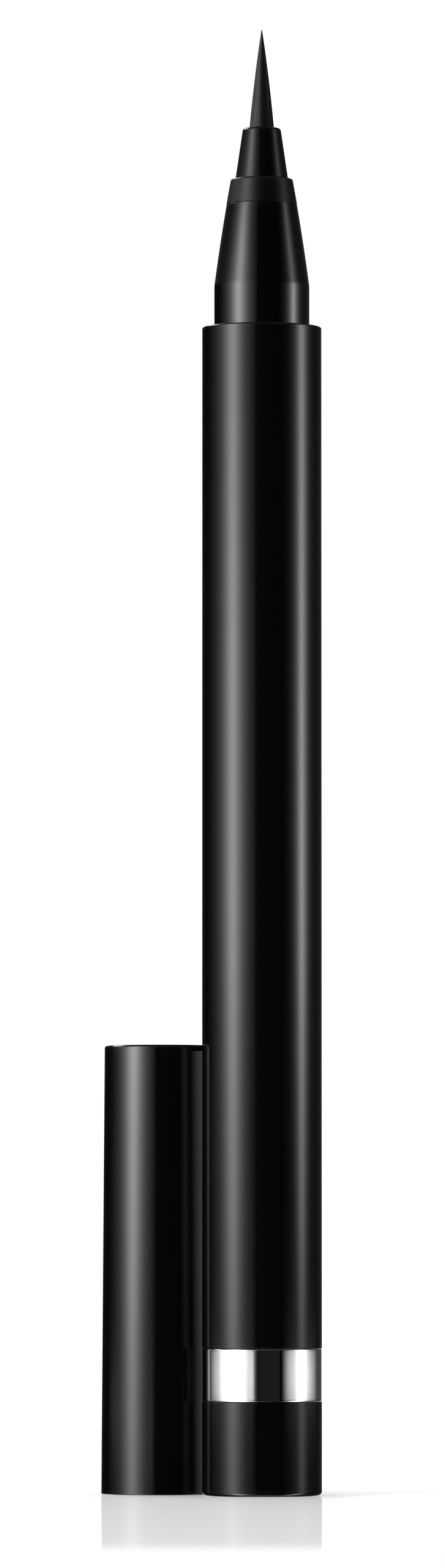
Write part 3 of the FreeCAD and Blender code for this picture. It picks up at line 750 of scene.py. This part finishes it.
class EYELINER_OT_band(Operator):
    """Turn the bright band"""
    bl_idname = "eyeliner.band"
    bl_label = "Bright band"

    def execute(self, context):
        pen = context.scene.eyeliner_pen
        corners = [
            (pen.bore_radius, pen.band_base),
            (pen.band_radius, pen.band_base, pen.band_ease),
            (pen.band_radius, pen.band_top, pen.band_ease),
            (pen.bore_radius, pen.band_top),
        ]
        band = turned_piece(context, "bright_band", corners, True)
        # Its mirror image stays off the cap.
        band.visible_glossy = False
        return {"FINISHED"}


class EYELINER_OT_tail(Operator):
    """Turn the tail with its hollow neck"""
    bl_idname = "eyeliner.tail"
    bl_label = "Tail"

    def execute(self, context):
        pen = context.scene.eyeliner_pen
        foot = low("tail_plug").z
        corners = [
            (0.0, foot),
            (pen.barrel_radius, foot, pen.tail_round),
            (pen.barrel_radius, pen.band_base, pen.tail_ease),
            (pen.tail_neck_radius, pen.band_base),
            (pen.tail_neck_radius, pen.band_top),
            (pen.tail_spigot_radius, pen.band_top),
            (pen.tail_spigot_radius, pen.tail_top),
            (pen.tail_hollow_radius, pen.tail_top),
            (pen.tail_hollow_radius, pen.tail_floor),
            (0.0, pen.tail_floor),
        ]
        turned_piece(context, "tail_foot", corners, False)
        return {"FINISHED"}


class EYELINER_OT_nose(Operator):
    """Turn the collar with the nose cone, and the sleeve that holds the bristles"""
    bl_idname = "eyeliner.nose"
    bl_label = "Nose and sleeve"

    def execute(self, context):
        nose, shoulder = context.scene.eyeliner_nose, context.scene.eyeliner_pen.barrel_top
        cone_foot = (nose.collar_radius, nose.collar_top)
        cone_end = (nose.cone_radius, nose.cone_top)
        seam_top = nose.cone_top + nose.seam_gap
        corners = [
            (nose.spigot_bore, nose.spigot_base),
            (nose.spigot_radius, nose.spigot_base, nose.spigot_ease),
            (nose.spigot_radius, shoulder),
            (nose.collar_radius, shoulder),
            (*cone_foot, nose.collar_ease),
            *flank(cone_foot, cone_end, nose.cone_flank),
            (*cone_end, nose.seam_ease),
            (nose.socket_radius, nose.cone_top),
            (nose.socket_radius, nose.socket_base),
            (nose.wick_radius, nose.socket_base),
            (nose.wick_radius, nose.wick_shelf),
            (nose.spigot_bore, nose.wick_shelf),
        ]
        turned_piece(context, "collar_and_nose", corners, True)
        corners = [
            (nose.flange_bore, nose.socket_base),
            (nose.sleeve_spigot, nose.socket_base),
            (nose.sleeve_spigot, nose.cone_top),
            (nose.seam_floor, nose.cone_top, nose.seam_ease),
            (nose.seam_floor, seam_top, nose.seam_ease),
            (nose.cone_radius, seam_top, nose.seam_ease),
            (nose.ring_radius, nose.ring_top, nose.ring_ease),
            (nose.sleeve_radius, nose.ring_top),
            (nose.sleeve_tip, nose.sleeve_top, nose.sleeve_round),
            (nose.nib_bore, nose.sleeve_top),
            (nose.nib_bore, nose.flange_top),
            (nose.flange_bore, nose.flange_top),
        ]
        sleeve = turned_piece(context, "sleeve_of_nib", corners, True)
        sleeve.data.materials.append(finish_of(context, "satin_ring_plastic"))
        for face in sleeve.data.polygons:
            face.material_index = int(face.center.z < nose.ring_top)
        return {"FINISHED"}


# Wound and gathered pieces

BRISTLE_FOOT = 2
CORE_FOOT = 4
TIP_START = 0.9
TIP_LOSS = 0.6
SCATTER = 0.2


def add_ring(form, middle, first, second, radius, sides):
    """Points of a ring in the plane of two directions, and the way from its middle to each."""
    angles = [math.tau * side / sides for side in range(sides)]
    ways = [first * math.cos(angle) + second * math.sin(angle) for angle in angles]
    return [form.verts.new(middle + way * radius) for way in ways], ways


def add_tube(form, rings):
    """Faces of a tube through rings of points, with both ends closed."""
    for lower, upper in zip(rings, rings[1:]):
        for side, point in enumerate(lower):
            after = (side + 1) % len(lower)
            form.faces.new((point, lower[after], upper[after], upper[side]))
    form.faces.new(rings[0][::-1])
    form.faces.new(rings[-1])


def bundle_radius(nib, root, at):
    """Radius of the bristle bundle at a height."""
    if at <= root:
        return nib.shank_radius
    run = nib.top - root
    along = min((at - root) / run, 1.0)
    return nib.shank_radius + (nib.point_radius - nib.shank_radius) * along + belly(run, nib.flank, along)


def add_bristle(form, normals, nib, root, angle, sway, end):
    """One bristle on the outside of the bundle, from inside the sleeve to its end."""
    foot = root - BRISTLE_FOOT * nib.bristle_radius
    rings = []
    for step in range(nib.rings + 1):
        along = step / nib.rings
        at = foot + (end - foot) * along
        bundle = bundle_radius(nib, root, at)
        thick = nib.bristle_radius * bundle / nib.shank_radius
        tapered = thick * (1 - TIP_LOSS * max(0.0, along - TIP_START) / (1 - TIP_START))
        across = around_axis(angle + sway * math.sin(math.pi * along))
        middle = across * (bundle - thick) + UP * at
        ring, ways = add_ring(form, middle, across, UP.cross(across), tapered, nib.sides)
        rings.append(ring)
        normals += [(across.lerp(way, nib.relief) + UP * nib.lean).normalized() for way in ways]
    add_tube(form, rings)


class EYELINER_OT_nib(Operator):
    """Gather the bristles of the brush nib over their fused core"""
    bl_idname = "eyeliner.nib"
    bl_label = "Brush nib"

    def execute(self, context):
        nib, nose = context.scene.eyeliner_nib, context.scene.eyeliner_nose
        root, rise = nose.sleeve_top, nib.top - nose.sleeve_top
        form, normals = bmesh.new(), []
        core = [
            (0.0, nib.flange_base),
            (nib.flange_radius, nib.flange_base),
            (nib.flange_radius, nose.flange_top),
            (nib.shank_radius, nose.flange_top),
            (nib.shank_radius, root - CORE_FOOT * nib.bristle_radius),
        ]
        for step in range(nib.rings):
            at = root + rise * step / nib.rings
            core.append((bundle_radius(nib, root, at) * (1 - nib.bristle_radius / nib.shank_radius), at))
        core.append((0.0, nib.top))
        stations = eased_outline(core, False, context.scene.eyeliner_mesh)
        spin(form, normals, stations, False, Vector(), nib.bristles)
        draw = random.Random(nib.seed)
        pitch = math.tau / nib.bristles
        for index in range(nib.bristles):
            angle = pitch * (index + draw.uniform(-SCATTER, SCATTER))
            sway = pitch * nib.sway * draw.uniform(-1, 1)
            short = nib.stagger * draw.random() ** 2
            add_bristle(form, normals, nib, root, angle, sway, nib.top - rise * short)
        place_piece(context, "bristle_nib", form, normals)
        return {"FINISHED"}


class EYELINER_OT_cap(Operator):
    """Turn the cap with its bead, its bore and the post inside the spring"""
    bl_idname = "eyeliner.cap"
    bl_label = "Cap"

    def execute(self, context):
        cap = context.scene.eyeliner_cap
        # The walk starts on the axis inside, goes round the mouth and ends on the axis outside.
        corners = [
            (0.0, cap.post_base),
            (cap.post_radius, cap.post_base),
            (cap.post_radius, cap.ceiling),
            (cap.bore_radius, cap.ceiling),
            (cap.bore_radius, cap.bead_top),
            (cap.bead_radius, cap.bead_top),
            (cap.bead_radius, cap.bead_crest),
            (cap.bore_radius, cap.bead_base),
            (cap.bore_radius, cap.lead_in),
            (cap.bore_radius + cap.lead_in, 0.0),
            (cap.mouth_radius, 0.0, cap.mouth_round),
            (cap.top_radius, cap.cap_length, cap.top_round),
            (0.0, cap.cap_length),
        ]
        turned_piece(context, "cap_tube", corners, False, Vector((cap.x, cap.y, cap.base)))
        return {"FINISHED"}


class EYELINER_OT_spring(Operator):
    """Wind the spring behind the inner cap"""
    bl_idname = "eyeliner.spring"
    bl_label = "Spring"

    def execute(self, context):
        cap = context.scene.eyeliner_cap
        form, normals, rings = bmesh.new(), [], []
        axis = Vector((cap.x, cap.y, cap.base))
        steps = round(cap.spring_turns * cap.turn_steps)
        rise = cap.spring_top - cap.spring_base
        whole_turn = math.tau * cap.spring_turns
        slope = rise / (whole_turn * cap.spring_radius)
        for step in range(steps + 1):
            along = step / steps
            across = around_axis(whole_turn * along)
            down = (UP.cross(across) * slope - UP).normalized()
            middle = axis + across * cap.spring_radius + UP * (cap.spring_base + rise * along)
            ring, ways = add_ring(form, middle, across, down, cap.wire_radius, cap.wire_sides)
            rings.append(ring)
            normals += ways
        add_tube(form, rings)
        piece = place_piece(context, "wound_spring", form, normals)
        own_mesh(piece)
        return {"FINISHED"}


# The finish of each CAD node that is shown as it is.
INNER_FINISHES = {
    "feed_wick": "bonded_wick_fibre",
    "collector": "collector_comb_plastic",
    "tank_seal": "tank_seal_rubber",
    "ink_tank": "natural_tank_plastic",
    "tank_plug": "natural_tank_plastic",
    "mixing_ball": "bright_drawn_steel",
    "inner_cap": "inner_cap_plastic",
}


class EYELINER_OT_inside(Operator):
    """Give the pieces inside the pen and the cap their finishes"""
    bl_idname = "eyeliner.inside"
    bl_label = "Inner pieces"

    def execute(self, context):
        for node, name in INNER_FINISHES.items():
            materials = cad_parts[node].data.materials
            materials.clear()
            materials.append(finish_of(context, name))
        return {"FINISHED"}


# Studio

WALL_STEP = 3
CARD_SHARE = 0.99
INNER_SHARE = 0.98
CEILING_START, CEILING_FULL = 0.35, 0.6
RIM_START = 0.8
TABLE_SIDES = 96
TABLE_DROP = 0.01 * MM
NEAREST, FARTHEST = 0.05, 20.0
GAP_CARD = "gap_card"

# Bearings in degrees between which each part of the ring stands.
WALL_PARTS = {
    "left_soft_box": (-140, -7),
    "front_flag": (-7, 34),
    "right_soft_box": (34, 140),
    "right_flag": (140, 168),
    "left_flag": (-168, -140),
}

# Bearings in degrees between which light fades, each from full to nothing.
LEFT_FADES = ((-19, -7), (-100, -140))
RIGHT_FADES = ((46, 34),)

# Bearings between which each card stands, and those between which its light fades.
CARDS = {
    "right_band_card": ((37, 138), ((58, 37), (93, 136))),
    "left_band_card": ((-125, -13), ((-19.5, -13), (-100, -125))),
    "inner_band_card": ((-27, -13), ((-19.5, -13), (-22, -27))),
    "nib_card": ((-160, -92), ((-118, -92),)),
    "edge_card": ((100, 168), ((120, 100),)),
    "nose_card": ((-168, -100), ((-120, -100),)),
    GAP_CARD: ((-142, -102), ((-120, -102), (-122, -142))),
}

# Heights in metres, each with the share of the soft box's light there.
LEFT_LEVELS = (
    (-1.1, 0.8), (-0.45, 0.8), (-0.2, 0.31), (-0.0154, 0.31), (0.009, 0.46), (0.027, 0.64), (0.048, 0.73),
    (0.067, 1.0), (0.109, 0.98), (0.155, 0.81), (0.172, 0.88), (0.26, 0.78), (0.337, 0.65), (0.381, 0.38),
    (0.41, 0.49), (0.46, 0.3))
RIGHT_LEVELS = (
    (-1.1, 0.8), (-0.45, 0.8), (-0.2, 0.145), (-0.0154, 0.145), (0.009, 0.21), (0.027, 0.44), (0.048, 0.66),
    (0.067, 1.0), (0.109, 0.97), (0.155, 0.76), (0.172, 0.72), (0.26, 0.3), (0.337, 0.19), (0.372, 0.08),
    (0.42, 0.034), (0.46, 0.004))


def wall_mesh(name, ends, radius, levels, material):
    """An upright strip of a ring, between two bearings in degrees and two heights."""
    form = bmesh.new()
    first, last = ends
    steps = math.ceil((last - first) / WALL_STEP)
    columns = []
    for step in range(steps + 1):
        angle = math.radians(first + (last - first) * step / steps)
        across = Vector((math.sin(angle), -math.cos(angle), 0)) * radius
        columns.append([form.verts.new(across + UP * level) for level in levels])
    for here, after in zip(columns, columns[1:]):
        form.faces.new((here[0], after[0], after[1], here[1]))
    return mesh_of(name, form, material)


def place_on_wall(tree):
    """Bearing and height of a point on the ring."""
    parts = split(tree, object_point(tree))
    return calc(tree, "ARCTAN2", parts["X"], times(tree, parts["Y"], -1.0)), parts["Z"]


def fade_out(tree, around, strength, fades):
    """A strength that fades away between the bearings of each fade."""
    for full, nothing in fades:
        fade = smooth(tree, around, math.radians(nothing), math.radians(full))
        strength = times(tree, fade, strength)
    return strength


def glow(tree, strength):
    """White light of a strength."""
    return add_node(tree, "ShaderNodeEmission", {"Strength": strength})


def soft_box(tree, centre, spread, peak, fades, levels):
    """Light cloth that is brightest on one upright line, and fades to its ends."""
    around, above = place_on_wall(tree)
    off = calc(tree, "DIVIDE", calc(tree, "SUBTRACT", around, centre), spread)
    strength = fade_out(tree, around, calc(tree, "DIVIDE", peak, calc(tree, "COSH", off)), fades)
    base, top = levels[0][0], levels[-1][0]
    rise = add_node(tree, "ShaderNodeMapRange", {"Value": above, "From Min": base, "From Max": top})
    ramp = add_node(tree, "ShaderNodeValToRGB", {0: rise})
    stops = ramp.color_ramp.elements
    for level, _ in levels[1:-1]:
        stops.new((level - base) / (top - base))
    for stop, (_, value) in zip(stops, levels):
        stop.color = (value, value, value, 1.0)
    return glow(tree, times(tree, strength, ramp))


def card_glow(tree, radiance, fades, one_sided):
    """Clear card whose light fades away to its sides, and which can shine away from the pen alone."""
    strength = fade_out(tree, place_on_wall(tree)[0], radiance, fades)
    if one_sided:
        behind = add_node(tree, "ShaderNodeNewGeometry").outputs["Backfacing"]
        strength = times(tree, strength, calc(tree, "SUBTRACT", 1.0, behind))
    clear = add_node(tree, "ShaderNodeBsdfTransparent")
    return add_node(tree, "ShaderNodeAddShader", {0: glow(tree, strength), 1: clear})


def white_room(studio):
    """White surroundings, whose ceiling is dark in gloss, as in a room where only the soft boxes are lit."""
    world = bpy.data.worlds.new("white_room")
    world.use_nodes = True
    world.cycles.sampling_method = "NONE"
    tree = world.node_tree
    rise = split(tree, add_node(tree, "ShaderNodeTexCoord").outputs["Generated"])["Z"]
    gloss = add_node(tree, "ShaderNodeLightPath").outputs["Is Glossy Ray"]
    dark = times(tree, gloss, smooth(tree, rise, CEILING_START, CEILING_FULL))
    shade = blend_colour(tree, dark, (1, 1, 1), studio.ceiling)
    tree.links.new(shade, tree.nodes["Background"].inputs["Color"])
    return world


def flag_cloth(tree, studio):
    """Black cloth that keeps light off the pen's front."""
    return add_node(tree, "ShaderNodeBsdfDiffuse", {"Color": opaque(studio.flag)})


def table_white(tree, studio):
    """White table top that fades away at its rim, with a thin gloss round the pen and the cap."""
    cloth = add_node(tree, "ShaderNodeBsdfDiffuse", {"Color": opaque(studio.floor_white)})
    seen = add_node(tree, "ShaderNodeLightPath").outputs["Is Camera Ray"]
    lift = glow(tree, times(tree, seen, studio.floor_lift))
    white = add_node(tree, "ShaderNodeAddShader", {0: cloth, 1: lift})
    gloss = add_node(tree, "ShaderNodeBsdfGlossy", {"Roughness": studio.floor_roughness})
    point = object_point(tree)
    place = split(tree, point)
    front = smooth(tree, place["Y"], studio.gloss_back, studio.gloss_back - studio.gloss_fade)
    aside = calc(tree, "ABSOLUTE", calc(tree, "SUBTRACT", place["X"], studio.gloss_centre))
    middle = smooth(tree, aside, studio.gloss_side + studio.gloss_fade, studio.gloss_side)
    thin = add_node(tree, "ShaderNodeFresnel", {"IOR": studio.floor_gloss})
    top = add_node(tree, "ShaderNodeMixShader", {0: times(tree, thin, front, middle), 1: white, 2: gloss})
    away = add_node(tree, "ShaderNodeVectorMath", {0: point}, operation="LENGTH").outputs["Value"]
    rim = smooth(tree, away, studio.floor_radius * RIM_START, studio.floor_radius)
    clear = add_node(tree, "ShaderNodeBsdfTransparent")
    return add_node(tree, "ShaderNodeMixShader", {0: rim, 1: top, 2: clear})


def set_up(scene, mesh):
    """Put a mesh in the scene as a part of the studio."""
    made = bpy.data.objects.new(mesh.name, mesh)
    scene.collection.objects.link(made)
    return made


class EYELINER_OT_stage(Operator):
    """Set the camera, the white surroundings, the soft boxes with their flags and cards, and the table top"""
    bl_idname = "eyeliner.stage"
    bl_label = "Studio"

    def execute(self, context):
        scene, studio = context.scene, context.scene.eyeliner_studio
        scene.view_settings.view_transform = "Standard"
        scene.world = white_room(studio)

        left = studio.left_centre, studio.left_spread, studio.left_peak, LEFT_FADES, LEFT_LEVELS
        right = studio.right_centre, studio.right_spread, studio.right_peak, RIGHT_FADES, RIGHT_LEVELS
        cloths = {
            "left_soft_box": new_material("left_soft_box_cloth", soft_box, *left),
            "right_soft_box": new_material("right_soft_box_cloth", soft_box, *right),
        }
        flag = new_material("black_flag_cloth", flag_cloth, studio)
        whole = studio.wall_base, studio.wall_top
        strips = [wall_mesh(name, ends, studio.wall_radius, whole, cloths.get(name, flag))
                  for name, ends in WALL_PARTS.items()]
        near, band = studio.wall_radius * CARD_SHARE, (studio.card_base, studio.card_top)
        by_barrel = scene.eyeliner_pen.barrel_radius + studio.gap_card_off
        cards = {
            "right_band_card": (studio.right_card, near, band),
            "left_band_card": (studio.left_card, near, band),
            "inner_band_card": (studio.inner_card, studio.wall_radius * INNER_SHARE, band),
            "nib_card": (studio.nib_card, near, (studio.nib_card_base, studio.wall_top)),
            "edge_card": (studio.edge_card, near, whole),
            "nose_card": (studio.edge_card, near, (studio.nose_card_base, studio.wall_top)),
            GAP_CARD: (studio.gap_card, by_barrel, (0.0, studio.gap_card_top)),
        }
        for name, (radiance, radius, levels) in cards.items():
            ends, fades = CARDS[name]
            white = new_material(name, card_glow, radiance, fades, name == GAP_CARD)
            strips.append(wall_mesh(name, ends, radius, levels, white))
        for mesh in strips:
            strip = set_up(scene, mesh)
            strip.visible_camera = False
            strip.visible_diffuse = mesh.name != GAP_CARD

        form = bmesh.new()
        bmesh.ops.create_circle(form, cap_ends=True, segments=TABLE_SIDES, radius=studio.floor_radius)
        bmesh.ops.translate(form, verts=form.verts, vec=UP * -TABLE_DROP)
        white = new_material("white_table_top", table_white, studio)
        table = set_up(scene, mesh_of("table_top", form, white))
        # Its white stays out of the gloss of the plastic.
        table.visible_glossy = False

        eye = bpy.data.objects.new("camera", bpy.data.cameras.new("camera"))
        eye.location = (studio.eye_x, studio.eye_y, studio.eye_z)
        eye.rotation_euler = (math.radians(90) + studio.tilt, 0, 0)
        eye.data.lens = studio.lens
        eye.data.clip_start, eye.data.clip_end = NEAREST, FARTHEST
        scene.collection.objects.link(eye)
        scene.camera = eye
        return {"FINISHED"}


OPERATORS = (
    EYELINER_OT_barrel, EYELINER_OT_band, EYELINER_OT_tail, EYELINER_OT_nose, EYELINER_OT_nib,
    EYELINER_OT_cap, EYELINER_OT_spring, EYELINER_OT_inside, EYELINER_OT_stage,
)
SETTINGS = {
    "eyeliner_mesh": EyelinerMesh,
    "eyeliner_pen": EyelinerPen,
    "eyeliner_nose": EyelinerNose,
    "eyeliner_nib": EyelinerNib,
    "eyeliner_cap": EyelinerCap,
    "eyeliner_finish": EyelinerFinish,
    "eyeliner_studio": EyelinerStudio,
}


class EYELINER_PT_sidebar(Panel):
    """Pieces of the pen and their sizes"""
    bl_idname = "EYELINER_PT_sidebar"
    bl_label = "Eyeliner pen"
    bl_space_type = "VIEW_3D"
    bl_region_type = "UI"
    bl_category = "Eyeliner pen"

    def draw(self, context):
        column = self.layout.column(align=True)
        for operator in OPERATORS:
            column.operator(operator.bl_idname)
        for name, kind in SETTINGS.items():
            box = self.layout.box()
            box.label(text=kind.__doc__)
            for key in kind.__annotations__:
                box.prop(getattr(context.scene, name), key)


def register():
    for kind in (*SETTINGS.values(), *OPERATORS, EYELINER_PT_sidebar):
        bpy.utils.register_class(kind)
    for name, kind in SETTINGS.items():
        setattr(bpy.types.Scene, name, PointerProperty(type=kind))


def unregister():
    for name in SETTINGS:
        delattr(bpy.types.Scene, name)
    for kind in (EYELINER_PT_sidebar, *reversed(OPERATORS), *reversed(SETTINGS.values())):
        bpy.utils.unregister_class(kind)


def main():
    """Make every piece and the studio."""
    register()
    bpy.ops.eyeliner.barrel()
    bpy.ops.eyeliner.band()
    bpy.ops.eyeliner.tail()
    bpy.ops.eyeliner.nose()
    bpy.ops.eyeliner.nib()
    bpy.ops.eyeliner.cap()
    bpy.ops.eyeliner.spring()
    bpy.ops.eyeliner.inside()
    bpy.ops.eyeliner.stage()


if __name__ == "__main__":
    main()
